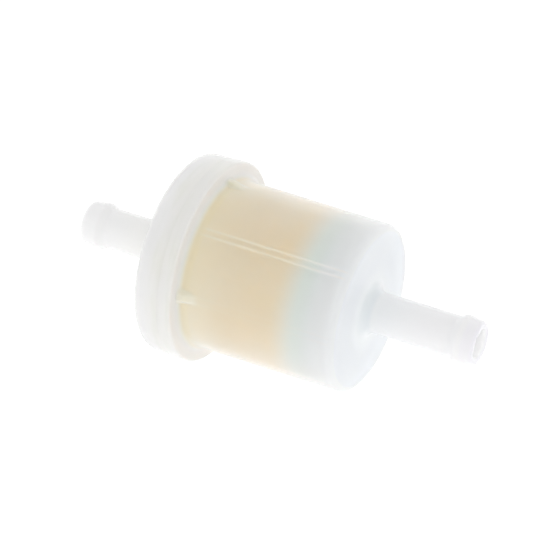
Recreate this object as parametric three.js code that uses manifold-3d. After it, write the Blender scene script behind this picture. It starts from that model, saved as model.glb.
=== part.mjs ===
// In-line fuel filter for a small engine: a welded two-piece housing with a hose
// barb at each end, and a pleated paper cartridge inside it.
// Millimetres, +Z up. The filter's axis is X. The origin is on the axis, at the
// tip of the outlet barb; the inlet barb's tip is at the far +X end.
import * as THREE from "three";
import { mergeVertices } from "three/addons/utils/BufferGeometryUtils.js";
import Module from "manifold-3d";

// --- Driving dimensions -----------------------------------------------------

const FIT_GAP = 0.3; // clearance left between neighbouring pieces
const SEGMENTS = 48; // facets round a full turn
const ARC_STEPS = 3; // chords in a rounded edge or fillet

// Stations along the axis.
const OUTLET_LENGTH = 18.6; // outlet barb, tip to cap face
const CAP_DEPTH = 4.6; // cap rim, outer face to weld line
const CUP_FLANGE_DEPTH = 2.4; // cup flange, weld line to its free face
const BODY_LENGTH = 28.3; // cup body, flange face to end face
const INLET_LENGTH = 19.7; // inlet barb, cup end face to tip

const capFaceX = OUTLET_LENGTH;
const weldX = capFaceX + CAP_DEPTH;
const flangeFaceX = weldX + CUP_FLANGE_DEPTH;
const cupEndX = flangeFaceX + BODY_LENGTH;
const inletTipX = cupEndX + INLET_LENGTH;

// Hose barb, the same at both ends, for hose of 6.35 mm bore.
const BARB = {
  boreRadius: 2.2,
  stemRadius: 3.53,
  tipRadius: 3.7,
  tipRounding: 0.64,
  peakRadius: 4.13,
  peakFromTip: 3.06,
  backFromTip: 4.4,
  rootFillet: 1.8,
};

// Housing: cap and cup.
const CAP_RIM_RADIUS = 17.45;
const CAP_RIM_ROUNDING = 1.1;
const CAP_RIM_INNER_RADIUS = 14.0;
const CAP_PLATE = 1.8;
const CUP_FLANGE_RADIUS = 17.57;
const CUP_FLANGE_ROUNDING = 0.4;
const BODY_RADIUS_AT_FLANGE = 14.7;
const BODY_RADIUS_AT_END = 14.45; // slight draft, so the cup leaves its mould
const BODY_ROOT_FILLET = 1.5;
const BODY_END_ROUNDING = 1.5;
const CUP_WALL = 1.4;
const CUP_END_WALL = 1.5;
const CUP_INNER_ROUNDING = 0.8;

// Boss inside the cap, over which the cartridge's open end fits.
const BOSS = { radius: 6.2, boreRadius: 5.0, height: 2.7 };

// Weld: a bead in a groove that is half in the cap and half in the cup.
const WELD = { innerRadius: 15.2, outerRadius: 16.6, grooveDepth: 0.9 };

// Guide ribs inside the cup, and drive lugs outside it at the flange.
const RIB = { count: 8, crestRadius: 12.45, width: 1.4, startFromFlange: 0.5 };
const LUG = { count: 4, topRadius: 15.7, width: 1.8, length: 2.7, endSlope: 0.5 };
const FEATURE_PHASE = THREE.MathUtils.degToRad(11.25);

// Cartridge: pleated paper between an open collar and a closed disc.
const CARTRIDGE_RADIUS = 12.1;
const BOND = { thickness: 0.6, outerRadius: 11.0 };
const COLLAR_THICKNESS = 1.2;
const POTTING_THICKNESS = 0.7;
const POTTING_INNER_RADIUS = 6.5;
const DISC = { thickness: 1.7, dishRadius: 6.0, dishDepth: 0.5 };
const CARTRIDGE_END_FROM_FLANGE = 21.5; // closed disc's far face
const PLEAT = {
  count: 28,
  crestRadius: 11.9,
  valleyRadius: 6.7,
  paperThickness: 0.4,
  foldRadius: 0.3,
  foldSteps: 4,
};
const SEAM = { thickness: 0.4, innerRadius: 7.2, outerRadius: 11.2, halfGap: 0.7 };

// --- Materials --------------------------------------------------------------

function plastic(name, colour, roughness, opacity = 1) {
  const transparent = opacity < 1;
  return new THREE.MeshStandardMaterial({
    name, color: colour, roughness, metalness: 0, transparent, opacity,
  });
}

const housingNylon = () => plastic("housing nylon", 0xeef1f0, 0.35, 0.6);
const filterPaper = () => plastic("filter paper", 0xd9b98a, 0.95);
const cartridgePlastic = () => plastic("cartridge plastic", 0xc4d6d8, 0.5);
const adhesive = () => plastic("adhesive", 0xe6dcc0, 0.45);

// --- Geometry helpers -------------------------------------------------------

// Points of a rounded edge or fillet about a centre, as [along the axis, radius],
// with angles in degrees turning from +X towards +radius.
function arc(centreX, centreR, radius, fromDegrees, toDegrees, steps = ARC_STEPS) {
  return Array.from({ length: steps + 1 }, (_, i) => {
    const angle = THREE.MathUtils.degToRad(
      fromDegrees + ((toDegrees - fromDegrees) * i) / steps,
    );
    return [centreX + radius * Math.cos(angle), centreR + radius * Math.sin(angle)];
  });
}

// A solid of revolution about X from a closed outline of [x, radius] points,
// listed from the bore's -X end, out over the outside and back through the inside.
function turned(outline) {
  const points = [...outline, outline[0]].map(([x, r]) => new THREE.Vector2(r, x));
  const geometry = new THREE.LatheGeometry(points, SEGMENTS);
  return closed(geometry.rotateZ(-Math.PI / 2));
}

// The same surface with its shared vertices merged.
function closed(geometry) {
  geometry.deleteAttribute("normal");
  geometry.deleteAttribute("uv");
  return mergeVertices(geometry, 1e-4);
}

// A flat ring between two stations on the axis.
function ring(fromX, toX, innerRadius, outerRadius) {
  return turned([
    [fromX, innerRadius], [fromX, outerRadius], [toX, outerRadius], [toX, innerRadius],
  ]);
}

// Outside of a hose barb, as [distance from its tip, radius] up to the face it
// grows from.
function barbOutline(length) {
  const { tipRadius, tipRounding, stemRadius, rootFillet } = BARB;
  return [
    ...arc(tipRounding, tipRadius - tipRounding, tipRounding, 180, 90),
    [BARB.peakFromTip, BARB.peakRadius],
    [BARB.backFromTip, stemRadius],
    ...arc(length - rootFillet, stemRadius + rootFillet, rootFillet, 270, 360),
  ];
}

const wasm = await Module();
wasm.setup();

function toManifold(geometry) {
  return new wasm.Manifold(new wasm.Mesh({
    numProp: 3,
    vertProperties: new Float32Array(geometry.attributes.position.array),
    triVerts: new Uint32Array(geometry.index.array),
  }));
}

function fromManifold(solid) {
  const { vertProperties, triVerts } = solid.getMesh();
  const geometry = new THREE.BufferGeometry();
  geometry.setAttribute("position", new THREE.BufferAttribute(vertProperties, 3));
  geometry.setIndex(new THREE.BufferAttribute(triVerts, 1));
  return geometry;
}

function joined(base, additions) {
  const solid = additions.reduce((sum, item) => sum.add(toManifold(item)), toManifold(base));
  return fromManifold(solid);
}

// Copies of a geometry turned about X, the first at the shared phase above -Y.
function aroundAxis(geometry, count) {
  return Array.from({ length: count }, (_, i) =>
    geometry.clone().rotateX(-FEATURE_PHASE - (i * 2 * Math.PI) / count));
}

// A prism whose side outline is in the axis-radius plane on the -Y side.
function radialPrism(outline, width) {
  const shape = new THREE.Shape(outline.map(([x, r]) => new THREE.Vector2(x, -r)));
  const geometry = new THREE.ExtrudeGeometry(shape, { depth: width, bevelEnabled: false });
  return closed(geometry.translate(0, 0, -width / 2));
}

// --- Housing ----------------------------------------------------------------

// Half of the weld groove in a flange face at x; direction points into the flange.
function grooveOutline(x, direction) {
  const bottom = x + direction * WELD.grooveDepth;
  return [
    [x, WELD.outerRadius], [bottom, WELD.outerRadius],
    [bottom, WELD.innerRadius], [x, WELD.innerRadius],
  ];
}

function outletCap() {
  const faceX = weldX - FIT_GAP / 2;
  const plateX = capFaceX + CAP_PLATE;
  const bossX = plateX + BOSS.height;
  return turned([
    [0, BARB.boreRadius],
    ...barbOutline(OUTLET_LENGTH),
    ...arc(
      capFaceX + CAP_RIM_ROUNDING, CAP_RIM_RADIUS - CAP_RIM_ROUNDING, CAP_RIM_ROUNDING,
      180, 90,
    ),
    [faceX, CAP_RIM_RADIUS],
    ...grooveOutline(faceX, -1),
    [faceX, CAP_RIM_INNER_RADIUS],
    [plateX, CAP_RIM_INNER_RADIUS],
    [plateX, BOSS.radius],
    [bossX, BOSS.radius],
    [bossX, BOSS.boreRadius],
    [plateX, BOSS.boreRadius],
    [capFaceX, BARB.boreRadius],
  ]);
}

function cupShell() {
  const faceX = weldX + FIT_GAP / 2;
  const innerRadiusAtMouth = BODY_RADIUS_AT_FLANGE - CUP_WALL;
  const innerRadiusAtEnd = BODY_RADIUS_AT_END - CUP_WALL;
  const floorX = cupEndX - CUP_END_WALL;
  return turned([
    [floorX, BARB.boreRadius + CUP_END_WALL],
    ...arc(
      floorX - CUP_INNER_ROUNDING, innerRadiusAtEnd - CUP_INNER_ROUNDING,
      CUP_INNER_ROUNDING, 0, 90,
    ),
    [faceX, innerRadiusAtMouth],
    ...grooveOutline(faceX, 1).reverse(),
    [faceX, CUP_FLANGE_RADIUS],
    ...arc(
      flangeFaceX - CUP_FLANGE_ROUNDING, CUP_FLANGE_RADIUS - CUP_FLANGE_ROUNDING,
      CUP_FLANGE_ROUNDING, 90, 0,
    ),
    ...arc(
      flangeFaceX + BODY_ROOT_FILLET, BODY_RADIUS_AT_FLANGE + BODY_ROOT_FILLET,
      BODY_ROOT_FILLET, 180, 270,
    ),
    ...arc(
      cupEndX - BODY_END_ROUNDING, BODY_RADIUS_AT_END - BODY_END_ROUNDING,
      BODY_END_ROUNDING, 90, 0,
    ),
    ...barbOutline(INLET_LENGTH).map(([d, r]) => [inletTipX - d, r]).reverse(),
    [inletTipX, BARB.boreRadius],
    [cupEndX, BARB.boreRadius],
  ]);
}

// One straight guide rib, sunk into the side wall and the end wall.
function guideRib() {
  const wallMiddle = BODY_RADIUS_AT_END - CUP_WALL / 2;
  const start = flangeFaceX + RIB.startFromFlange;
  const end = cupEndX - CUP_END_WALL / 2;
  return radialPrism(
    [[start, RIB.crestRadius], [end, RIB.crestRadius], [end, wallMiddle], [start, wallMiddle]],
    RIB.width,
  );
}

// One drive lug, sunk into the side wall and the flange.
function driveLug() {
  const rootX = flangeFaceX - CUP_FLANGE_ROUNDING;
  const endX = flangeFaceX + LUG.length;
  const rootRadius = BODY_RADIUS_AT_FLANGE - CUP_WALL / 2;
  return radialPrism(
    [
      [rootX, rootRadius], [endX, rootRadius],
      [endX, LUG.topRadius - LUG.endSlope], [endX - LUG.endSlope, LUG.topRadius],
      [rootX, LUG.topRadius],
    ],
    LUG.width,
  );
}

function inletCup() {
  return joined(cupShell(), [
    ...aroundAxis(guideRib(), RIB.count),
    ...aroundAxis(driveLug(), LUG.count),
  ]);
}

function weldBead() {
  const reach = FIT_GAP / 2 + WELD.grooveDepth - FIT_GAP;
  return ring(
    weldX - reach, weldX + reach, WELD.innerRadius + FIT_GAP, WELD.outerRadius - FIT_GAP,
  );
}

// --- Cartridge --------------------------------------------------------------

const bondX = capFaceX + CAP_PLATE + FIT_GAP;
const collarX = bondX + BOND.thickness + FIT_GAP;
const openPottingX = collarX + COLLAR_THICKNESS + FIT_GAP;
const paperStartX = openPottingX + POTTING_THICKNESS + FIT_GAP;
const discEndX = flangeFaceX + CARTRIDGE_END_FROM_FLANGE;
const discX = discEndX - DISC.thickness;
const closedPottingX = discX - FIT_GAP - POTTING_THICKNESS;
const paperEndX = closedPottingX - FIT_GAP;

// Adhesive ring that holds the collar to the cap, round the cap's boss.
const collarBond = () => ring(
  bondX, bondX + BOND.thickness, BOSS.radius + FIT_GAP, BOND.outerRadius,
);

const openEndCollar = () => ring(
  collarX, collarX + COLLAR_THICKNESS, BOSS.radius + FIT_GAP, CARTRIDGE_RADIUS,
);

const potting = (x) => ring(x, x + POTTING_THICKNESS, POTTING_INNER_RADIUS, CARTRIDGE_RADIUS);

// Closed disc with a shallow dish in its far face.
function closedEndDisc() {
  const dishX = discEndX - DISC.dishDepth;
  return turned([
    [discX, 0], [discX, CARTRIDGE_RADIUS], [discEndX, CARTRIDGE_RADIUS],
    [discEndX, DISC.dishRadius], [dishX, DISC.dishRadius - DISC.dishDepth], [dishX, 0],
  ]);
}

// Rounded fold of one face of the sheet, seen along the axis, as points on an arc.
// Crests bulge outwards and valleys inwards; the arc runs in the order of the pleats.
function foldArc(angle, isCrest, arcRadius) {
  const sign = isCrest ? 1 : -1;
  const centre = isCrest
    ? PLEAT.crestRadius - PLEAT.foldRadius
    : PLEAT.valleyRadius + PLEAT.foldRadius;
  return Array.from({ length: PLEAT.foldSteps + 1 }, (_, i) => {
    const turn = Math.PI * (i / PLEAT.foldSteps - 0.5);
    return polar(angle, centre + sign * arcRadius * Math.cos(turn), arcRadius * Math.sin(turn));
  });
}

// A point at a radius on a radial line, moved sideways off that line.
function polar(angle, radius, sideways) {
  return new THREE.Vector2(
    radius * Math.cos(angle) - sideways * Math.sin(angle),
    radius * Math.sin(angle) + sideways * Math.cos(angle),
  );
}

// One face of the sheet: all folds, with a free edge on each side of the seam.
// side is 1 for the outer face and -1 for the inner face.
function sheetFace(side) {
  const half = PLEAT.paperThickness / 2;
  const edgeRadius = PLEAT.valleyRadius + PLEAT.foldRadius;
  const edgeOffset = SEAM.halfGap - side * half;
  const points = [polar(0, edgeRadius, edgeOffset)];
  for (let fold = 1; fold < 2 * PLEAT.count; fold += 1) {
    const isCrest = fold % 2 === 1;
    const arcRadius = PLEAT.foldRadius + (isCrest ? side : -side) * half;
    points.push(...foldArc((fold * Math.PI) / PLEAT.count, isCrest, arcRadius));
  }
  points.push(polar(0, edgeRadius, -edgeOffset));
  return points;
}

// Extruded along the filter's axis, with the seam below and in line with a lug.
function alongAxis(points, fromX, toX) {
  const settings = { depth: toX - fromX, bevelEnabled: false };
  const geometry = new THREE.ExtrudeGeometry(new THREE.Shape(points), settings);
  geometry.rotateY(Math.PI / 2).rotateX(-FEATURE_PHASE).translate(fromX, 0, 0);
  return closed(geometry);
}

function pleatedPaper() {
  return alongAxis([...sheetFace(1), ...sheetFace(-1).reverse()], paperStartX, paperEndX);
}

// Thin strip that bonds the sheet's two free edges together.
function sideSeamStrip() {
  const half = SEAM.thickness / 2;
  const corners = [
    polar(0, SEAM.innerRadius, -half), polar(0, SEAM.outerRadius, -half),
    polar(0, SEAM.outerRadius, half), polar(0, SEAM.innerRadius, half),
  ];
  return alongAxis(corners, paperStartX, paperEndX);
}

// --- Assembly ---------------------------------------------------------------

const filter = new THREE.Group();

function addPart(name, geometry, material) {
  const mesh = new THREE.Mesh(geometry, material);
  mesh.name = name;
  filter.add(mesh);
}

addPart("outlet_cap", outletCap(), housingNylon());
addPart("inlet_cup", inletCup(), housingNylon());
addPart("weld_bead", weldBead(), housingNylon());
addPart("collar_bond", collarBond(), adhesive());
addPart("open_end_collar", openEndCollar(), cartridgePlastic());
addPart("open_end_potting", potting(openPottingX), adhesive());
addPart("pleated_paper", pleatedPaper(), filterPaper());
addPart("side_seam_strip", sideSeamStrip(), adhesive());
addPart("closed_end_potting", potting(closedPottingX), adhesive());
addPart("closed_end_disc", closedEndDisc(), cartridgePlastic());

export default filter;
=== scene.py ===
"""Looks of a small in-line fuel filter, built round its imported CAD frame.

The filter's axis is X. The outlet barb's tip is at the origin and the inlet barb's tip is at
the +X end. Objects are in metres; outlines are (x, radius) pairs in millimetres, with x along
the axis, and an angle round the axis is measured from -Y towards +Z.
"""
import math

import bmesh
import bpy
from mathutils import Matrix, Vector, noise


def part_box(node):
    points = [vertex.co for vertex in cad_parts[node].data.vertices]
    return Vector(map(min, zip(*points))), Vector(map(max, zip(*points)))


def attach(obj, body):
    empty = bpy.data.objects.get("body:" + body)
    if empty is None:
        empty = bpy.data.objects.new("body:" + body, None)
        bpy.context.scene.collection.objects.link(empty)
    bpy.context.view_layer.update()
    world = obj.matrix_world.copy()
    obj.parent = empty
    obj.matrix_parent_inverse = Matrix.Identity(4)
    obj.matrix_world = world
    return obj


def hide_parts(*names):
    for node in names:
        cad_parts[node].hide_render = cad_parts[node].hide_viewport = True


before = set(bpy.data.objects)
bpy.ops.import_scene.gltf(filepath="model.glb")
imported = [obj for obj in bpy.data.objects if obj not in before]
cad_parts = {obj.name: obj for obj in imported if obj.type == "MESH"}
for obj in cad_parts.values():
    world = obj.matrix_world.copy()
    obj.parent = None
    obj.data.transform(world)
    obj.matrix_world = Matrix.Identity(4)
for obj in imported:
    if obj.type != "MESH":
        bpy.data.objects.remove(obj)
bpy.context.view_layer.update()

MM = 0.001
BODY = "root"


# --- Places from the frame ------------------------------------------------------------------

def box_mm(node):
    """Lowest and highest corners of a CAD node, in millimetres."""
    return [Vector(corner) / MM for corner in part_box(node)]


cap_low, cap_high = box_mm("outlet_cap")
cup_low, cup_high = box_mm("inlet_cup")
bead_low, bead_high = box_mm("weld_bead")
bond_high = box_mm("collar_bond")[1]
collar_low, collar_high = box_mm("open_end_collar")
open_pot_high = box_mm("open_end_potting")[1]
paper_low, paper_high = box_mm("pleated_paper")
disc_low, disc_high = box_mm("closed_end_disc")

OUTLET_TIP_X = cap_low.x
INLET_TIP_X = cup_high.x
WELD_X = (cap_high.x + cup_low.x) / 2
CAP_RIM_RADIUS = cap_high.z
CUP_FLANGE_RADIUS = cup_high.z
CARTRIDGE_RADIUS = disc_high.z

# Stations and sizes of the housing that no node's box gives.
CAP_RIM_DEPTH = 4.6
CUP_FLANGE_DEPTH = 2.4
INLET_BARB_LENGTH = 19.7
CAP_FACE_X = WELD_X - CAP_RIM_DEPTH
FLANGE_FACE_X = WELD_X + CUP_FLANGE_DEPTH
CUP_END_X = INLET_TIP_X - INLET_BARB_LENGTH
BODY_RADIUS_AT_FLANGE = 14.7
BODY_RADIUS_AT_END = 14.45
CUP_WALL = 1.4
CUP_END_WALL = 1.5
CAP_PLATE = 1.8
CAP_RIM_INNER_RADIUS = 14.0
BORE_RADIUS = 2.2
STEM_RADIUS = 3.53
WELD_SEAM = 0.02  # what shows of the joint between the halves
SEAM_ROUNDING = 0.06

FEATURE_PHASE = math.radians(11.25)  # first rib and lug, above -Y
RIB_COUNT = 8
LUG_COUNT = 4


# --- Outlines -------------------------------------------------------------------------------

ARC_STEP = math.radians(11)
LONGEST_EDGE = 1.2
SAME_POINT = 1e-7  # metres


def rounded(corners, closed=False):
    """Points along an outline whose corners are (x, radius, rounding)."""
    points = []
    last = len(corners) - 1
    for i, (x, r, rounding) in enumerate(corners):
        here = Vector((x, r))
        if rounding == 0 or (not closed and i in (0, last)):
            points.append(here)
            continue
        before = Vector(corners[i - 1][:2])
        after = Vector(corners[(i + 1) % len(corners)][:2])
        towards = (before - here).normalized()
        away = (after - here).normalized()
        turn = math.pi - towards.angle(away)
        reach = rounding * math.tan(turn / 2)
        start = here + towards * reach
        centre = here + (towards + away).normalized() * rounding / math.cos(turn / 2)
        steps = max(2, math.ceil(turn / ARC_STEP))
        arm = start - centre
        side = 1 if towards.x * away.y - towards.y * away.x < 0 else -1
        for step in range(steps + 1):
            a = side * turn * step / steps
            points.append(centre + Vector((
                arm.x * math.cos(a) - arm.y * math.sin(a),
                arm.x * math.sin(a) + arm.y * math.cos(a),
            )))
    return subdivided(points, closed)


def subdivided(points, closed):
    """The same line with no edge longer than LONGEST_EDGE."""
    ends = points[1:] + (points[:1] if closed else [])
    out = []
    for start, end in zip(points, ends):
        pieces = max(1, math.ceil((end - start).length / LONGEST_EDGE))
        out += [start.lerp(end, k / pieces) for k in range(pieces)]
    return out if closed else out + [points[-1]]


# --- Meshes ---------------------------------------------------------------------------------

def even_angles(count):
    return [2 * math.pi * i / count for i in range(count)]


def at(x, r, angle):
    """A point in the row frame, in metres."""
    return Vector((x, -r * math.cos(angle), r * math.sin(angle))) * MM


def mesh_object(name, verts, faces, sharp=math.radians(40)):
    """A smooth-shaded object with outward faces, edges sharper than an angle kept sharp."""
    mesh = bpy.data.meshes.new(name)
    mesh.from_pydata(verts, [], faces)
    tidy_mesh(mesh)
    mesh.shade_smooth()
    mesh.set_sharp_from_angle(angle=sharp)
    obj = bpy.data.objects.new(name, mesh)
    bpy.context.scene.collection.objects.link(obj)
    return obj


def tidy_mesh(mesh):
    """Merges points that fall together, such as those on the axis, and turns faces out."""
    work = bmesh.new()
    work.from_mesh(mesh)
    bmesh.ops.remove_doubles(work, verts=work.verts, dist=SAME_POINT)
    bmesh.ops.dissolve_degenerate(work, edges=work.edges, dist=SAME_POINT)
    bmesh.ops.recalc_face_normals(work, faces=work.faces)
    work.to_mesh(mesh)
    work.free()


def lofted(name, ring_at, angles, closed=True):
    """A surface through rings of points; ring_at(angle) gives the (x, radius) pairs."""
    rings = [ring_at(a) for a in angles]
    count = len(rings[0])
    verts = [at(x, r, a) for ring, a in zip(rings, angles) for x, r in ring]
    faces = []
    for j in range(len(angles)):
        here, there = j * count, ((j + 1) % len(angles)) * count
        for i in range(count if closed else count - 1):
            k = (i + 1) % count
            faces.append((here + i, here + k, there + k, there + i))
    return mesh_object(name, verts, faces)


def turned(name, corners, segments=192, closed=True, waviness=0.0, seed=0.0):
    """A solid of revolution. An outline that isn't closed starts and ends on the axis."""
    outline = rounded(corners, closed)

    def ring_at(angle):
        return [wavy(p, angle, waviness, seed) for p in outline]

    return lofted(name, ring_at, even_angles(segments), closed)


WAVE_SCALE = 0.35  # waves per millimetre, roughly
TOUCHING = 0.01  # points closer than this count as together


def wavy(point, angle, amount, seed):
    """The point moved inwards a little, as set adhesive or a moulded skin is uneven."""
    x, r = point
    if amount == 0 or r < TOUCHING:
        return x, r
    spot = at(x, r, angle) / MM * WAVE_SCALE + Vector((seed, seed, seed))
    push = amount * (0.5 + 0.5 * noise.noise(spot))
    return x, r - push


# --- Housing --------------------------------------------------------------------------------

BARB_TIP_RADIUS = 3.7
BARB_TIP_ROUNDING = 0.64
BARB_PEAK_RADIUS = 4.13
BARB_PEAK_FROM_TIP = 3.06
BARB_BACK_FROM_TIP = 4.4
BARB_ROOT_FILLET = 1.8
BARB_ROUNDING = 0.8


def barb_corners(tip_x, face_x):
    """Bore edge at the tip, over the barb and along the stem to the face it grows from."""
    way = 1 if face_x > tip_x else -1
    return [
        (tip_x, BORE_RADIUS, BARB_ROUNDING),
        (tip_x, BARB_TIP_RADIUS, BARB_TIP_ROUNDING),
        (tip_x + way * BARB_PEAK_FROM_TIP, BARB_PEAK_RADIUS, BARB_ROUNDING),
        (tip_x + way * BARB_BACK_FROM_TIP, STEM_RADIUS, BARB_ROUNDING),
        (face_x, STEM_RADIUS, BARB_ROOT_FILLET),
    ]


BOSS_RADIUS = 6.2
BOSS_BORE_RADIUS = 5.0
BOSS_HEIGHT = 2.7
GROOVE_INNER_RADIUS = 15.2
GROOVE_OUTER_RADIUS = 16.6
GROOVE_DEPTH = 0.9
SKIN_WAVINESS = 0.03


def groove_corners(x, way):
    """Half of the weld groove, from its outer wall to its inner wall."""
    bottom = x + way * GROOVE_DEPTH
    return [
        (x, GROOVE_OUTER_RADIUS, 0.03), (bottom, GROOVE_OUTER_RADIUS, 0.2),
        (bottom, GROOVE_INNER_RADIUS, 0.2), (x, GROOVE_INNER_RADIUS, 0.03),
    ]


def cap_shell():
    face_x = WELD_X - WELD_SEAM / 2
    plate_x = CAP_FACE_X + CAP_PLATE
    boss_x = plate_x + BOSS_HEIGHT
    corners = [
        *barb_corners(OUTLET_TIP_X, CAP_FACE_X),
        (CAP_FACE_X, CAP_RIM_RADIUS, 1.1),
        (face_x, CAP_RIM_RADIUS, SEAM_ROUNDING),
        *groove_corners(face_x, -1),
        (face_x, CAP_RIM_INNER_RADIUS, 0.3),
        (plate_x, CAP_RIM_INNER_RADIUS, 0.6),
        (plate_x, BOSS_RADIUS, 0.4),
        (boss_x, BOSS_RADIUS, 0.3),
        (boss_x, BOSS_BORE_RADIUS, 0.3),
        (plate_x, BOSS_BORE_RADIUS, 0.5),
        (CAP_FACE_X, BORE_RADIUS, 0.8),
    ]
    return turned("cap_shell", corners, 240, waviness=SKIN_WAVINESS, seed=3.1)


def feature_angles():
    """Angles round the cup, close together where ribs and lugs rise."""
    # degrees from a rib's middle
    offsets = [0, 1.2, 2.1, 2.5, 2.8, 3.1, 3.4, 3.7, 4.1, 5, 6.5, 8.5, 11, 14, 17, 20, 22.5]
    angles = []
    for sector in range(RIB_COUNT):
        middle = FEATURE_PHASE + 2 * math.pi * sector / RIB_COUNT
        angles += [middle - math.radians(o) for o in offsets[:0:-1]]
        angles += [middle + math.radians(o) for o in offsets[:-1]]
    return angles


def ramp(value, low, high):
    """0 below low, 1 above high, smooth between."""
    t = min(1.0, max(0.0, (value - low) / (high - low)))
    return t * t * (3 - 2 * t)


def nearness(angle, count, radius, width, edge):
    """1 on one of count features spaced round the axis, 0 off it."""
    pitch = 2 * math.pi / count
    off = (angle - FEATURE_PHASE + pitch / 2) % pitch - pitch / 2
    return 1 - ramp(abs(off) * radius, width / 2 - edge, width / 2 + edge)


LUG_WIDTH = 1.8
LUG_TOP_RADIUS = 15.7
LUG_LENGTH = 2.7
RIB_WIDTH = 1.4
RIB_CREST_RADIUS = 12.45
RIB_START_X = FLANGE_FACE_X + 0.5
SOFT_EDGE = 0.5
LUG_TOP_SLOPE = 0.12
LUG_FRONT = (LUG_LENGTH - 0.35, LUG_LENGTH + 0.1)  # where a lug falls to the wall
RIB_FRONT = (RIB_START_X - 0.3, RIB_START_X + 0.5)  # where a rib rises from the wall


def with_lug(point, angle):
    """The cup's outer skin, raised to the lug's top beside the flange."""
    x, r = point
    reach = x - FLANGE_FACE_X
    if not -TOUCHING < reach < LUG_FRONT[1] or r > LUG_TOP_RADIUS:
        return x, r
    along = 1 - ramp(reach, *LUG_FRONT)
    crown = LUG_TOP_RADIUS - LUG_TOP_SLOPE * reach
    share = along * nearness(angle, LUG_COUNT, LUG_TOP_RADIUS, LUG_WIDTH, SOFT_EDGE)
    return x, r + max(0.0, crown - r) * share


def with_rib(point, angle):
    """The cup's inner skin, brought in to the guide ribs' crests."""
    x, r = point
    if x < RIB_FRONT[0] or r < RIB_CREST_RADIUS:
        return x, r
    share = ramp(x, *RIB_FRONT)
    share *= nearness(angle, RIB_COUNT, RIB_CREST_RADIUS, RIB_WIDTH, SOFT_EDGE)
    return x, r + (RIB_CREST_RADIUS - r) * share


def cup_shell():
    face_x = WELD_X + WELD_SEAM / 2
    floor_x = CUP_END_X - CUP_END_WALL
    outside = rounded([
        (face_x, GROOVE_OUTER_RADIUS, 0),
        (face_x, CUP_FLANGE_RADIUS, SEAM_ROUNDING),
        (FLANGE_FACE_X, CUP_FLANGE_RADIUS, 0.45),
        (FLANGE_FACE_X, BODY_RADIUS_AT_FLANGE, 1.5),
        (CUP_END_X, BODY_RADIUS_AT_END, 1.5),
        *barb_corners(INLET_TIP_X, CUP_END_X)[::-1],
        (CUP_END_X, BORE_RADIUS, 0),
    ])
    inside = rounded([
        (floor_x, BORE_RADIUS + CUP_END_WALL, 0),
        (floor_x, BODY_RADIUS_AT_END - CUP_WALL, 0.8),
        (face_x, BODY_RADIUS_AT_FLANGE - CUP_WALL, 0.3),
        *groove_corners(face_x, 1)[:0:-1],
        (face_x, GROOVE_OUTER_RADIUS, 0),
    ])[:-1]

    def ring_at(angle):
        outer = [wavy(with_lug(p, angle), angle, SKIN_WAVINESS, 7.7) for p in outside]
        return outer + [with_rib(p, angle) for p in inside]

    return lofted("cup_shell", ring_at, feature_angles())


def weld_ring():
    """The re-set bead in its groove, with the uneven crown that spin welding leaves."""
    corners = [
        (bead_low.x, GROOVE_INNER_RADIUS + 0.1, 0.3), (bead_low.x, bead_high.z, 0.3),
        (bead_high.x, bead_high.z, 0.3), (bead_high.x, GROOVE_INNER_RADIUS + 0.1, 0.3),
    ]
    return turned("weld_ring", corners, 240, waviness=0.18, seed=1.3)


# --- Cartridge ------------------------------------------------------------------------------

PLEATS = 28
FOLD_STEPS = 8
CREST_FOLD_RADIUS = 0.62
VALLEY_FOLD_RADIUS = 0.3
VALLEY_RADIUS = 6.7
PAPER_THICKNESS = 0.32
PAPER_SINK = 0.45  # how far the paper's ends stand in the potting
SEAM_HALF_GAP = 0.45
SEAM_ANGLE = FEATURE_PHASE - math.pi / 2
CREST_CLEARANCE = 0.1
CREST_UNEVENNESS = 0.10
FLANK_SWAY = 0.16
SHEET_ROWS = 28
STRIP_ROWS = 24
STRIP_HALF_THICKNESS = 0.22
STRIP_INNER_RADIUS = 7.1
STRIP_OUTER_RADIUS = 11.3
STRIP_ROUNDING = 0.15
STRIP_SWAY = 0.1


def fold_line():
    """The sheet's middle line as (angle, radius, sideways), seam edge to seam edge.

    None stands for a straight flank between two folds.
    """
    edge = VALLEY_RADIUS + VALLEY_FOLD_RADIUS
    crest_centre = paper_high.z - CREST_FOLD_RADIUS - CREST_CLEARANCE
    line = [(0, edge, SEAM_HALF_GAP)]
    for fold in range(1, 2 * PLEATS):
        crest = fold % 2 == 1
        size, centre = (CREST_FOLD_RADIUS, crest_centre) if crest else (VALLEY_FOLD_RADIUS, edge)
        for i in range(FOLD_STEPS + 1):
            turn = math.pi * (i / FOLD_STEPS - 0.5)
            out = size * math.cos(turn) * (1 if crest else -1)
            line.append((fold * math.pi / PLEATS, centre + out, size * math.sin(turn)))
        if fold < 2 * PLEATS - 1:
            line.append(None)
    line.append((2 * math.pi, edge, -SEAM_HALF_GAP))
    return line


def paper_point(spot, x):
    """A point of the sheet, with the slight sway and uneven depth of folded paper."""
    angle, radius, sideways = spot
    where = Vector((x * 0.12, angle * 3.0, radius * 0.05))
    lift = CREST_UNEVENNESS * noise.noise(where) * ramp(radius, VALLEY_RADIUS, paper_high.z)
    sway = FLANK_SWAY * noise.noise(where + Vector((9.0, 4.0, 2.0)))
    a = SEAM_ANGLE + angle
    r = radius + lift
    s = sideways + sway * ramp(radius, VALLEY_RADIUS, VALLEY_RADIUS + 2.0)
    return at(x, r, a) + (at(x, s, a + math.pi / 2) - at(x, 0, a))


def flank_filled(line):
    """The fold line with its straight flanks divided in four."""
    out = []
    for i, spot in enumerate(line):
        if spot is not None:
            out.append(spot)
            continue
        (a0, r0, s0), (a1, r1, s1) = line[i - 1], line[i + 1]
        for t in (0.25, 0.5, 0.75):
            out.append((a0 + (a1 - a0) * t, r0 + (r1 - r0) * t, s0 + (s1 - s0) * t))
    return out


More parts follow.
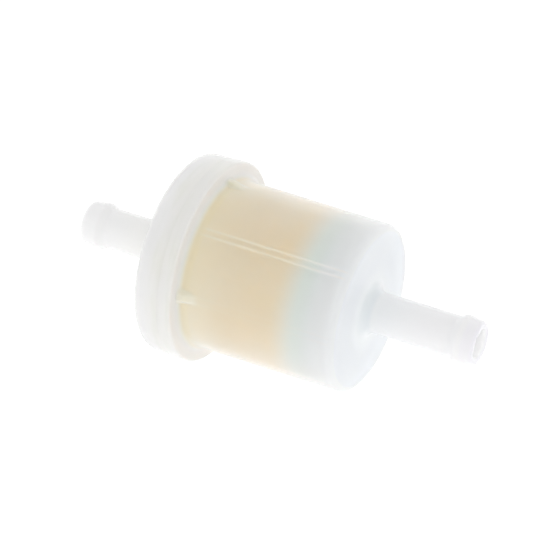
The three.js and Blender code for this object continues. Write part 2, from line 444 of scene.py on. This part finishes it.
def pleated_sheet():
    line = flank_filled(fold_line())
    start, end = paper_low.x - PAPER_SINK, paper_high.x + PAPER_SINK
    stations = [start + (end - start) * k / SHEET_ROWS for k in range(SHEET_ROWS + 1)]
    verts = [paper_point(spot, x) for x in stations for spot in line]
    count = len(line)
    faces = []
    for k in range(SHEET_ROWS):
        for i in range(count - 1):
            here, above = k * count + i, (k + 1) * count + i
            faces.append((here, here + 1, above + 1, above))
    obj = mesh_object("pleated_sheet", verts, faces, sharp=math.radians(80))
    thickness = obj.modifiers.new("thickness", "SOLIDIFY")
    thickness.thickness = PAPER_THICKNESS * MM
    thickness.offset = 0
    return obj


def seam_strip():
    """The bonded strip between the sheet's free edges, as a thin fin with rounded edges."""
    start, end = paper_low.x - PAPER_SINK, paper_high.x + PAPER_SINK
    inner, outer, half = STRIP_INNER_RADIUS, STRIP_OUTER_RADIUS, STRIP_HALF_THICKNESS
    outline = rounded([
        (inner, -half, STRIP_ROUNDING), (outer, -half, STRIP_ROUNDING),
        (outer, half, STRIP_ROUNDING), (inner, half, STRIP_ROUNDING),
    ], closed=True)
    verts, faces = [], []
    for k in range(STRIP_ROWS + 1):
        x = start + (end - start) * k / STRIP_ROWS
        sway = STRIP_SWAY * noise.noise(Vector((x * 0.2, 5.0, 1.0)))
        for r, s in outline:
            side = at(x, s + sway, SEAM_ANGLE + math.pi / 2) - at(x, 0, SEAM_ANGLE)
            verts.append(at(x, r, SEAM_ANGLE) + side)
    count = len(outline)
    for k in range(STRIP_ROWS):
        for i in range(count):
            here, along = k * count + i, k * count + (i + 1) % count
            faces.append((here, along, along + count, here + count))
    faces.append(tuple(range(count)))
    faces.append(tuple(range(STRIP_ROWS * count, (STRIP_ROWS + 1) * count)))
    return mesh_object("seam_strip", verts, faces)


BOND_GAP = 0.02
POTTING_GAP = 0.03
PAPER_GAP = 0.05
POTTING_INNER_RADIUS = VALLEY_RADIUS - 0.2
OPEN_POTTING_RADIUS = CARTRIDGE_RADIUS - 0.65
CLOSED_POTTING_RADIUS = CARTRIDGE_RADIUS - 0.05
COLLAR_RIM_WIDTH = 0.6
DISH_TOP_RADIUS = 6.2
DISH_FLOOR_RADIUS = 5.6
DISH_DEPTH = 0.5
GATE_BASE_RADIUS = 1.0
GATE_TOP_RADIUS = 0.8
GATE_HEIGHT = 0.25


def ring_corners(from_x, to_x, inner, outer, rounding):
    return [
        (from_x, inner, rounding), (from_x, outer, rounding),
        (to_x, outer, rounding), (to_x, inner, rounding),
    ]


def bond_ring():
    corners = ring_corners(
        CAP_FACE_X + CAP_PLATE + BOND_GAP, collar_low.x - BOND_GAP,
        BOSS_RADIUS + 0.1, bond_high.z, 0.35,
    )
    return turned("bond_ring", corners, waviness=0.5, seed=4.2)


def collar_ring():
    """The open end collar: a flat ring with a raised rim round its edge."""
    inner, outer = BOSS_RADIUS + 0.15, CARTRIDGE_RADIUS
    corners = [
        (collar_low.x, inner, 0.25), (collar_low.x, outer, 0.3),
        (open_pot_high.x, outer, 0.2), (open_pot_high.x, outer - COLLAR_RIM_WIDTH, 0.15),
        (collar_high.x, outer - COLLAR_RIM_WIDTH, 0.2), (collar_high.x, inner, 0.25),
    ]
    return turned("collar_ring", corners)


def open_potting():
    corners = ring_corners(
        collar_high.x + POTTING_GAP, paper_low.x - PAPER_GAP,
        POTTING_INNER_RADIUS, OPEN_POTTING_RADIUS, 0.25,
    )
    return turned("open_potting", corners, waviness=0.15, seed=6.6)


def closed_potting():
    corners = ring_corners(
        paper_high.x + PAPER_GAP, disc_low.x - POTTING_GAP,
        POTTING_INNER_RADIUS, CLOSED_POTTING_RADIUS, 0.3,
    )
    return turned("closed_potting", corners, waviness=0.15, seed=8.8)


def end_disc():
    """The closed disc: a shallow dish in its face, with the moulding's gate mark."""
    dish_x = disc_high.x - DISH_DEPTH
    gate_x = dish_x + GATE_HEIGHT
    corners = [
        (disc_low.x, 0, 0), (disc_low.x, CARTRIDGE_RADIUS, 0.3),
        (disc_high.x, CARTRIDGE_RADIUS, 0.4), (disc_high.x, DISH_TOP_RADIUS, 0.4),
        (dish_x, DISH_FLOOR_RADIUS, 0.4), (dish_x, GATE_BASE_RADIUS, 0.2),
        (gate_x, GATE_TOP_RADIUS, 0.2), (gate_x, 0, 0),
    ]
    return turned("end_disc", corners, closed=False)


# --- Materials ------------------------------------------------------------------------------

# How clear the housing is, as its transmission weight.
BARB_CLEARNESS = 0.05
THICK_CLEARNESS = 0.22
THIN_CLEARNESS = 0.38

# How far light spreads in it, in metres: further round the bores, so they stay bright.
SCATTER = 0.0004
BORE_SCATTER = 0.008

# How strongly the housing's details show, 0 to 1.
CLOUDINESS = 0.15
RIB_LINE_SHARE = 0.9
RIB_HIGHLIGHT_TINT = 0.35
BEHIND_LUG_SHARE = 0.25
LUG_PALENESS = 0.7
STREAK_SHARE = 0.5
CAP_SHEEN = 0.15
CUP_SHEEN = 0.7

RIB_LINE_WIDTH = 0.7
RIB_LINE_INSET = 0.12

# Where each detail fades in, as (start, end) in millimetres from a place on the axis ...
RIB_LINE_START = (0.8, 2.4)  # from the flange's face
RIB_LINE_END = (-0.4, -1.6)  # from the cup's end
WALL_START = (-0.5, 10)  # from the flange's face
WALL_END = (-0.1, -3.6)  # from the cup's end
LUG_START = (0.02, 0.3)  # from the flange's face
ROOT_START = (-0.3, -0.1)  # from the cup's end
ROOT_END = (2.0, 1.0)  # from the cup's end
STREAK_START = (0.3, 2.5)  # from the cap's face
STREAK_END = (0.3, -0.4)  # from the flange's face
SOAK_START = -4.0  # from the paper's end
# ... or from a radius.
SKIN_TOP = (0.35, 0.1)  # from the body's
LUG_RISE = (-0.1, 0.15)  # from the body's
BORE_LIGHTENING = (0.3, 0.08)  # from the bore's
BORE_GLOW = (0.6, 0.1)  # from the bore's
ROOT_RADII = (9.5, 5.0)
BARB_RADII = (5.0, 9.0)
LUG_SIDE = (2.0, 1.2)  # in half widths of a lug
CLEAR_OF_LUG = (math.radians(15), math.radians(30))
STREAK_CONTRAST = (0.4, 0.8)
NOISE_RANGE = (0.3, 0.7)  # between which nearly all of a noise's values lie

# Noise scales, in waves per metre.
CLOUD_SCALE = 90
STREAK_SCALE = 110
PATCH_SCALE = 160
SINK_SCALE = 260
SWIRL_SCALE = 420
CARTRIDGE_FLOW_SCALE = 500
WELD_FLOW_SCALE = 900
CREPE_SCALE = 1500
FIBRE_SCALE = 2600
CARTRIDGE_GRAIN_SCALE = 4200
SKIN_GRAIN_SCALE = 5200

WHITE = (1.0, 1.0, 1.0)
RIB_HIGHLIGHT_CREAM = (1.0, 0.93, 0.82)
CREAM = (1.0, 0.973, 0.895)
LUG_CREAM = (1.0, 0.91, 0.78)
STREAK_GREY = (0.90, 0.90, 0.80)
WARM_GREY = (0.96, 0.94, 0.89)
RIM_GREY = (1.0, 0.99, 0.96)
PALE_GREY = (0.91, 0.905, 0.91)
HONEY = (1.0, 0.82, 0.59)
TAN_SHEEN = (1.0, 0.824, 0.62)
SEA_GREY = (0.85, 0.915, 0.865)
LAVENDER = (0.825, 0.867, 0.98)
PALE_BLUE = (0.93, 0.99, 1.0)
CORNER_BLUE = (0.90, 0.95, 0.985)
ROOT_SHADE_TEAL = (0.825, 0.86, 0.88)
ROOT_MIST = (0.905, 0.93, 0.92)
TIP_GREY = (0.90, 0.89, 0.93)
RING_GREY = (0.83, 0.82, 0.87)
RESET_TONES = ((0.93, 0.92, 0.89), (0.97, 0.965, 0.94))
PAPER_TONES = ((0.97, 0.64, 0.30), (1.0, 0.74, 0.42))
SOAKED_PAPER = (0.62, 0.62, 0.48)
ADHESIVE_TONES = ((0.58, 0.64, 0.56), (0.68, 0.73, 0.66))
CARTRIDGE_TONES = ((0.55, 0.65, 0.59), (0.62, 0.71, 0.65))

# The housing's colour along the axis. The cup's carries nearly all of the tint that the cartridge
# gives a real wall: little of it comes through from behind.
# The cap's warm grey by its face is likewise painted light: the warm light that the paper sends
# through a real flange.
CAP_TONES = [
    (OUTLET_TIP_X + 4, PALE_GREY), (CAP_FACE_X - 4, WARM_GREY),
    (CAP_FACE_X + 0.5, RIM_GREY), (WELD_X - 0.5, CREAM),
]
CUP_TONES = [
    (FLANGE_FACE_X + 0.1, CREAM),
    (FLANGE_FACE_X + 0.9, HONEY), (FLANGE_FACE_X + 1.6, HONEY),
    (FLANGE_FACE_X + 2.2, TAN_SHEEN), (FLANGE_FACE_X + 16.2, TAN_SHEEN),
    (FLANGE_FACE_X + 21.5, SEA_GREY), (CUP_END_X - 2.8, PALE_BLUE),
    (CUP_END_X - 0.9, CORNER_BLUE), (CUP_END_X - 0.15, CORNER_BLUE),
    (CUP_END_X, LAVENDER), (CUP_END_X + 0.2, LAVENDER),
    (CUP_END_X + 1.5, ROOT_MIST), (CUP_END_X + 5, ROOT_MIST),
    (CUP_END_X + 11, PALE_GREY), (INLET_TIP_X - 2.6, PALE_GREY),
    (INLET_TIP_X - 1.6, TIP_GREY), (INLET_TIP_X - 0.6, TIP_GREY),
    (INLET_TIP_X, RING_GREY),
]


def new_material(name):
    """A node material and its Principled shader."""
    material = bpy.data.materials.new(name)
    material.use_nodes = True
    return material, material.node_tree.nodes["Principled BSDF"]


def node(material, kind, **settings):
    """A node with named sockets or properties set."""
    made = material.node_tree.nodes.new(kind)
    for key, value in settings.items():
        if key in made.inputs:
            made.inputs[key].default_value = value
        else:
            setattr(made, key, value)
    return made


def link(material, output, target):
    material.node_tree.links.new(output, target)


def noise_node(material, scale, detail=3.0, roughness=0.5, stretch=(1, 1, 1)):
    """Noise in the row frame's own metres; stretch squeezes or stretches it per axis."""
    where = node(material, "ShaderNodeTexCoord")
    mapping = node(material, "ShaderNodeMapping")
    mapping.inputs["Scale"].default_value = stretch
    made = node(material, "ShaderNodeTexNoise", Scale=scale, Detail=detail, Roughness=roughness)
    link(material, where.outputs["Object"], mapping.inputs["Vector"])
    link(material, mapping.outputs["Vector"], made.inputs["Vector"])
    return made


def ranged(material, value, low, high):
    """A noise's value spread over low to high."""
    made = node(material, "ShaderNodeMapRange")
    made.inputs["From Min"].default_value, made.inputs["From Max"].default_value = NOISE_RANGE
    made.inputs["To Min"].default_value = low
    made.inputs["To Max"].default_value = high
    link(material, value, made.inputs["Value"])
    return made.outputs["Result"]


def blended(material, factor, first, second):
    """A colour between two, by a 0 to 1 value. Each colour is a tuple or a socket."""
    made = node(material, "ShaderNodeMix", data_type="RGBA", blend_type="MIX")
    link(material, factor, colour_socket(made, "Factor_Float"))
    for colour, name in ((first, "A_Color"), (second, "B_Color")):
        if isinstance(colour, tuple):
            colour_socket(made, name).default_value = (*colour, 1)
        else:
            link(material, colour, colour_socket(made, name))
    return next(socket for socket in made.outputs if socket.identifier == "Result_Color")


def colour_socket(mix, identifier):
    return next(socket for socket in mix.inputs if socket.identifier == identifier)


def bumped(material, shader, layers):
    """Stacked bumps: (height, strength, distance in metres), coarsest first."""
    before = None
    for height, strength, distance in layers:
        made = node(material, "ShaderNodeBump", Strength=strength, Distance=distance)
        link(material, height, made.inputs["Height"])
        if before is not None:
            link(material, before, made.inputs["Normal"])
        before = made.outputs["Normal"]
    link(material, before, shader.inputs["Normal"])


def math_node(material, operation, *values):
    """The result of a Math node whose inputs are numbers or sockets."""
    made = node(material, "ShaderNodeMath", operation=operation)
    for socket, value in zip(made.inputs, values):
        if isinstance(value, (int, float)):
            socket.default_value = value
        else:
            link(material, value, socket)
    return made.outputs["Value"]


def eased(material, value, start, end):
    """0 before start, 1 past end, smooth between. The other way round if end is lower."""
    made = node(material, "ShaderNodeMapRange", interpolation_type="SMOOTHSTEP")
    made.inputs["From Min"].default_value = start
    made.inputs["From Max"].default_value = end
    link(material, value, made.inputs["Value"])
    return made.outputs["Result"]


def faded(material, value, origin, fade):
    """Eased between a fade's start and end, which are in millimetres from an origin."""
    start, end = fade
    return eased(material, value, (origin + start) * MM, (origin + end) * MM)


def place(material):
    """Position in the row frame as sockets: x, distance from the axis and angle round it."""
    where = node(material, "ShaderNodeTexCoord")
    split = node(material, "ShaderNodeSeparateXYZ")
    link(material, where.outputs["Object"], split.inputs["Vector"])
    x, y, z = (split.outputs[name] for name in "XYZ")
    squares = [math_node(material, "MULTIPLY", side, side) for side in (y, z)]
    radius = math_node(material, "SQRT", math_node(material, "ADD", *squares))
    angle = math_node(material, "ARCTAN2", z, math_node(material, "MULTIPLY", y, -1.0))
    return x, radius, angle


def from_nearest(material, angle, count):
    """Angle to the nearest of count features spaced round the axis, in radians."""
    pitch = 2 * math.pi / count
    turned_on = math_node(material, "ADD", angle, pitch / 2 - FEATURE_PHASE)
    within = math_node(material, "FLOORED_MODULO", turned_on, pitch)
    return math_node(material, "ABSOLUTE", math_node(material, "SUBTRACT", within, pitch / 2))


def rib_edge_highlights(material, x, angle):
    """1 along both edges of a guide rib, where a real wall shows pale lines of light: these are
    painted highlights.

    The highlight lines are painted, as the ribs hardly show through. Behind a lug they are
    fainter.
    """
    edge = (RIB_WIDTH / 2 - RIB_LINE_INSET) / BODY_RADIUS_AT_FLANGE
    off = from_nearest(material, angle, RIB_COUNT)
    gap = math_node(material, "ABSOLUTE", math_node(material, "SUBTRACT", off, edge))
    line = RIB_LINE_WIDTH / 2 / BODY_RADIUS_AT_FLANGE
    lines = eased(material, gap, line, line * 0.1)
    start = faded(material, x, FLANGE_FACE_X, RIB_LINE_START)
    end = faded(material, x, CUP_END_X, RIB_LINE_END)
    clear_of_lugs = eased(material, from_nearest(material, angle, LUG_COUNT), *CLEAR_OF_LUG)
    strength = between(material, clear_of_lugs, BEHIND_LUG_SHARE, 1.0)
    return product(material, lines, start, end, strength)


def on_skin(material, radius):
    """1 on the cup's body, 0 on what stands out from it: the lugs and the flange."""
    return faded(material, radius, BODY_RADIUS_AT_FLANGE, SKIN_TOP)


def wall_share(material, x, radius, angle):
    """1 where the housing is a thin wall, 0 where it is thick: flange, lugs, ribs and barbs."""
    start = faded(material, x, FLANGE_FACE_X, WALL_START)
    end = faded(material, x, CUP_END_X, WALL_END)
    ribs = between(material, rib_edge_highlights(material, x, angle), 1.0, 1.0 - RIB_LINE_SHARE)
    return product(material, start, end, on_skin(material, radius), ribs)


def product(material, first, *others):
    for other in others:
        first = math_node(material, "MULTIPLY", first, other)
    return first


def lug_share(material, x, radius, angle):
    """LUG_PALENESS on the drive lugs, 0 elsewhere."""
    past_flange = faded(material, x, FLANGE_FACE_X, LUG_START)
    raised = faded(material, radius, BODY_RADIUS_AT_FLANGE, LUG_RISE)
    half = LUG_WIDTH / 2 / LUG_TOP_RADIUS
    off = from_nearest(material, angle, LUG_COUNT)
    beside = eased(material, off, half * LUG_SIDE[0], half * LUG_SIDE[1])
    return product(material, past_flange, raised, beside, LUG_PALENESS)


def root_shade_share(material, x, radius):
    """1 round the inlet barb's root, where the end wall is thickest and a teal painted shade
    goes, 0 elsewhere.
    """
    near = faded(material, radius, 0, ROOT_RADII)
    start = faded(material, x, CUP_END_X, ROOT_START)
    end = faded(material, x, CUP_END_X, ROOT_END)
    return product(material, near, start, end)


def streaks(material, x):
    """Faint flow lines round the flange, strongest in its middle."""
    flow = noise_node(material, STREAK_SCALE, 1.5, 0.5, stretch=(7, 1, 1)).outputs["Fac"]
    start = faded(material, x, CAP_FACE_X, STREAK_START)
    end = faded(material, x, FLANGE_FACE_X, STREAK_END)
    lines = eased(material, flow, *STREAK_CONTRAST)
    return product(material, lines, start, end, STREAK_SHARE)


def body_share(material, radius):
    """0 on the barbs and round their roots, 1 on the rest of the housing."""
    return faded(material, radius, 0, BARB_RADII)


def between(material, share, low, high):
    """A 0 to 1 value spread over low to high."""
    return math_node(material, "MULTIPLY_ADD", share, high - low, low)


def clearness(material, x, radius, angle):
    """How much light goes through: most in the cup's thin wall, least in the barbs."""
    thick = between(material, body_share(material, radius), BARB_CLEARNESS, THICK_CLEARNESS)
    wall = wall_share(material, x, radius, angle)
    return math_node(material, "MULTIPLY_ADD", wall, THIN_CLEARNESS - THICK_CLEARNESS, thick)


def graded(material, x, stops):
    """A colour that changes along the axis, through (x in millimetres, colour) stops."""
    colour = stops[0][1]
    for (start, _), (end, following) in zip(stops, stops[1:]):
        colour = blended(material, eased(material, x, start * MM, end * MM), colour, following)
    return colour


def housing_material(name, stops, sheen):
    """Frosted milky nylon, glossy on its skin, that blurs what stands behind it."""
    material, shader = new_material(name)
    x, radius, angle = place(material)
    cloud = noise_node(material, CLOUD_SCALE, 2.0)
    sink = noise_node(material, SINK_SCALE, 2.0)
    grain = noise_node(material, SKIN_GRAIN_SCALE, 2.0)
    tone = ranged(material, cloud.outputs["Fac"], 0, CLOUDINESS)
    colour = blended(material, tone, graded(material, x, stops), WHITE)
    # Painted highlights: pale cream lines along the guide ribs' edges.
    line = math_node(material, "MULTIPLY", rib_edge_highlights(material, x, angle), RIB_HIGHLIGHT_TINT)
    colour = blended(material, line, colour, RIB_HIGHLIGHT_CREAM)
    colour = blended(material, lug_share(material, x, radius, angle), colour, LUG_CREAM)
    # Painted shade: a darker teal round the inlet barb's root, partly for the thicker end wall
    # there.
    colour = blended(material, root_shade_share(material, x, radius), colour, ROOT_SHADE_TEAL)
    colour = blended(material, streaks(material, x), colour, STREAK_GREY)
    # Painted light: the bores' inner skin is blended to white so the bores stay bright inside.
    colour = blended(material, faded(material, radius, BORE_RADIUS, BORE_LIGHTENING), colour, WHITE)
    link(material, colour, shader.inputs["Base Color"])
    link(material, ranged(material, cloud.outputs["Fac"], 0.85, 0.97), shader.inputs["Roughness"])
    link(material, clearness(material, x, radius, angle), shader.inputs["Transmission Weight"])
    shader.inputs["IOR"].default_value = 1.15
    shader.inputs["Subsurface Weight"].default_value = 1.0
    shader.inputs["Subsurface Radius"].default_value = (1.0, 1.0, 1.0)
    glow = faded(material, radius, BORE_RADIUS, BORE_GLOW)
    spread = between(material, glow, SCATTER, BORE_SCATTER)
    link(material, spread, shader.inputs["Subsurface Scale"])
    shader.inputs["Sheen Weight"].default_value = sheen
    shader.inputs["Sheen Roughness"].default_value = 0.5
    shader.inputs["Coat Weight"].default_value = 0.8
    shader.inputs["Coat Roughness"].default_value = 0.12
    bumped(material, shader, [
        (sink.outputs["Fac"], 0.25, 0.0001), (grain.outputs["Fac"], 0.12, 0.00002),
    ])
    return material


def weld_material():
    """Re-set nylon, cloudier than the housing, with flow lines round the axis."""
    material, shader = new_material("reset_nylon")
    flow = noise_node(material, WELD_FLOW_SCALE, 3.0, stretch=(3, 1, 1))
    tone = ranged(material, flow.outputs["Fac"], 0, 1)
    colour = blended(material, tone, *RESET_TONES)
    link(material, colour, shader.inputs["Base Color"])
    link(material, ranged(material, flow.outputs["Fac"], 0.35, 0.55), shader.inputs["Roughness"])
    shader.inputs["IOR"].default_value = 1.36
    bumped(material, shader, [(flow.outputs["Fac"], 0.3, 0.0001)])
    return material


def paper_material():
    """Resin-treated filter paper: tan, dull, with fibres and a fine crepe.

    Its end beside the closed disc is darker, where it has drawn up adhesive.
    """
    material, shader = new_material("filter_paper")
    patch = noise_node(material, PATCH_SCALE, 3.0)
    fibre = noise_node(material, FIBRE_SCALE, 5.0, 0.65, stretch=(0.35, 1, 1))
    crepe = noise_node(material, CREPE_SCALE, 2.0, stretch=(0.25, 1, 1))
    tone = ranged(material, fibre.outputs["Fac"], 0, 1)
    dry = blended(material, tone, *PAPER_TONES)
    x = place(material)[0]
    soaked = faded(material, x, paper_high.x, (SOAK_START, PAPER_SINK))
    colour = blended(material, soaked, dry, SOAKED_PAPER)
    link(material, colour, shader.inputs["Base Color"])
    link(material, ranged(material, patch.outputs["Fac"], 0.82, 0.95), shader.inputs["Roughness"])
    shader.inputs["Specular IOR Level"].default_value = 0.25
    bumped(material, shader, [
        (crepe.outputs["Fac"], 0.5, 0.00012), (fibre.outputs["Fac"], 0.5, 0.00005),
    ])
    return material


def adhesive_material():
    """Set adhesive: satin and slightly cloudy, with swirls from pouring."""
    material, shader = new_material("set_adhesive")
    swirl = noise_node(material, SWIRL_SCALE, 4.0, 0.6)
    tone = ranged(material, swirl.outputs["Fac"], 0, 1)
    colour = blended(material, tone, *ADHESIVE_TONES)
    link(material, colour, shader.inputs["Base Color"])
    link(material, ranged(material, swirl.outputs["Fac"], 0.35, 0.5), shader.inputs["Roughness"])
    bumped(material, shader, [(swirl.outputs["Fac"], 0.3, 0.00012)])
    return material


def cartridge_material():
    """Satin grey-green moulding with faint flow marks and a fine grain."""
    material, shader = new_material("cartridge_plastic")
    flow = noise_node(material, CARTRIDGE_FLOW_SCALE, 3.0)
    grain = noise_node(material, CARTRIDGE_GRAIN_SCALE, 2.0)
    tone = ranged(material, flow.outputs["Fac"], 0, 1)
    colour = blended(material, tone, *CARTRIDGE_TONES)
    link(material, colour, shader.inputs["Base Color"])
    link(material, ranged(material, flow.outputs["Fac"], 0.4, 0.52), shader.inputs["Roughness"])
    bumped(material, shader, [
        (flow.outputs["Fac"], 0.15, 0.0001), (grain.outputs["Fac"], 0.15, 0.00002),
    ])
    return material


# --- Assembly -------------------------------------------------------------------------------

def fitted(piece, cad_node, material):
    """The piece takes its material and stands for one CAD node."""
    piece.data.materials.append(material)
    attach(piece, BODY)
    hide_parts(cad_node)


cap_nylon = housing_material("cap_nylon", CAP_TONES, CAP_SHEEN)
cup_nylon = housing_material("cup_nylon", CUP_TONES, CUP_SHEEN)
adhesive = adhesive_material()
cartridge = cartridge_material()

fitted(cap_shell(), "outlet_cap", cap_nylon)
fitted(cup_shell(), "inlet_cup", cup_nylon)
fitted(weld_ring(), "weld_bead", weld_material())
fitted(pleated_sheet(), "pleated_paper", paper_material())
fitted(seam_strip(), "side_seam_strip", adhesive)
fitted(bond_ring(), "collar_bond", adhesive)
fitted(collar_ring(), "open_end_collar", cartridge)
fitted(open_potting(), "open_end_potting", adhesive)
fitted(closed_potting(), "closed_end_potting", adhesive)
fitted(end_disc(), "closed_end_disc", cartridge)


# --- Floor, light and camera ----------------------------------------------------------------

FLOOR_HALF_SIZE = 3.0  # metres
FLOOR_GLOW = 1.02
HORIZON_LIGHT = 1.06
OVERHEAD_LIGHT = 0.88
LIGHT_FADE = (0.1, 0.9)  # height in the sky, as a sine


def pale_floor():
    """A white light table under the filter."""
    size = FLOOR_HALF_SIZE
    height = -CUP_FLANGE_RADIUS * MM
    corners = [(-size, -size), (size, -size), (size, size), (-size, size)]
    mesh = bpy.data.meshes.new("floor")
    mesh.from_pydata([(x, y, height) for x, y in corners], [], [(0, 1, 2, 3)])
    floor = bpy.data.objects.new("floor", mesh)
    bpy.context.scene.collection.objects.link(floor)
    material, shader = new_material("floor_white")
    shader.inputs["Base Color"].default_value = (0.1, 0.1, 0.1, 1)
    shader.inputs["Roughness"].default_value = 0.9
    shader.inputs["Specular IOR Level"].default_value = 0.0
    shader.inputs["Emission Color"].default_value = (1, 1, 1, 1)
    shader.inputs["Emission Strength"].default_value = FLOOR_GLOW
    mesh.materials.append(material)


def studio_light():
    """A white room, a little darker overhead, so the filter's top is its dimmest side."""
    world = bpy.data.worlds.new("studio")
    bpy.context.scene.world = world
    world.use_nodes = True
    nodes, links = world.node_tree.nodes, world.node_tree.links
    where = nodes.new("ShaderNodeTexCoord")
    split = nodes.new("ShaderNodeSeparateXYZ")
    fade = nodes.new("ShaderNodeMapRange")
    fade.inputs["From Min"].default_value, fade.inputs["From Max"].default_value = LIGHT_FADE
    fade.inputs["To Min"].default_value = HORIZON_LIGHT
    fade.inputs["To Max"].default_value = OVERHEAD_LIGHT
    links.new(where.outputs["Generated"], split.inputs["Vector"])
    links.new(split.outputs["Z"], fade.inputs["Value"])
    links.new(fade.outputs["Result"], nodes["Background"].inputs["Strength"])
    nodes["Background"].inputs["Color"].default_value = (1, 1, 1, 1)


CAMERA_AZIMUTH = math.radians(27.7)
CAMERA_ELEVATION = math.radians(36.9)
CAMERA_DISTANCE = 0.403
LENS = 154.5
AIM_FROM_FLANGE = 10.0
AIM_RIGHT = 1.213
AIM_DOWN = 0.181


def photo_camera():
    """Looks down on the cup's end of the filter from the front right."""
    a, e = CAMERA_AZIMUTH, CAMERA_ELEVATION
    right = Vector((math.cos(a), math.sin(a), 0))
    back = Vector((math.sin(a) * math.cos(e), -math.cos(a) * math.cos(e), math.sin(e)))
    up = back.cross(right)
    on_axis = Vector((FLANGE_FACE_X + AIM_FROM_FLANGE, 0, 0)) * MM
    aim = on_axis + (right * AIM_RIGHT - up * AIM_DOWN) * MM
    data = bpy.data.cameras.new("camera")
    data.lens = LENS
    data.sensor_width = 36
    data.clip_start = 0.01
    camera = bpy.data.objects.new("camera", data)
    bpy.context.scene.collection.objects.link(camera)
    camera.location = aim + back * CAMERA_DISTANCE
    camera.rotation_euler = back.to_track_quat("Z", "Y").to_euler()
    bpy.context.scene.camera = camera


pale_floor()
studio_light()
photo_camera()
bpy.context.scene.view_settings.view_transform = "Standard"
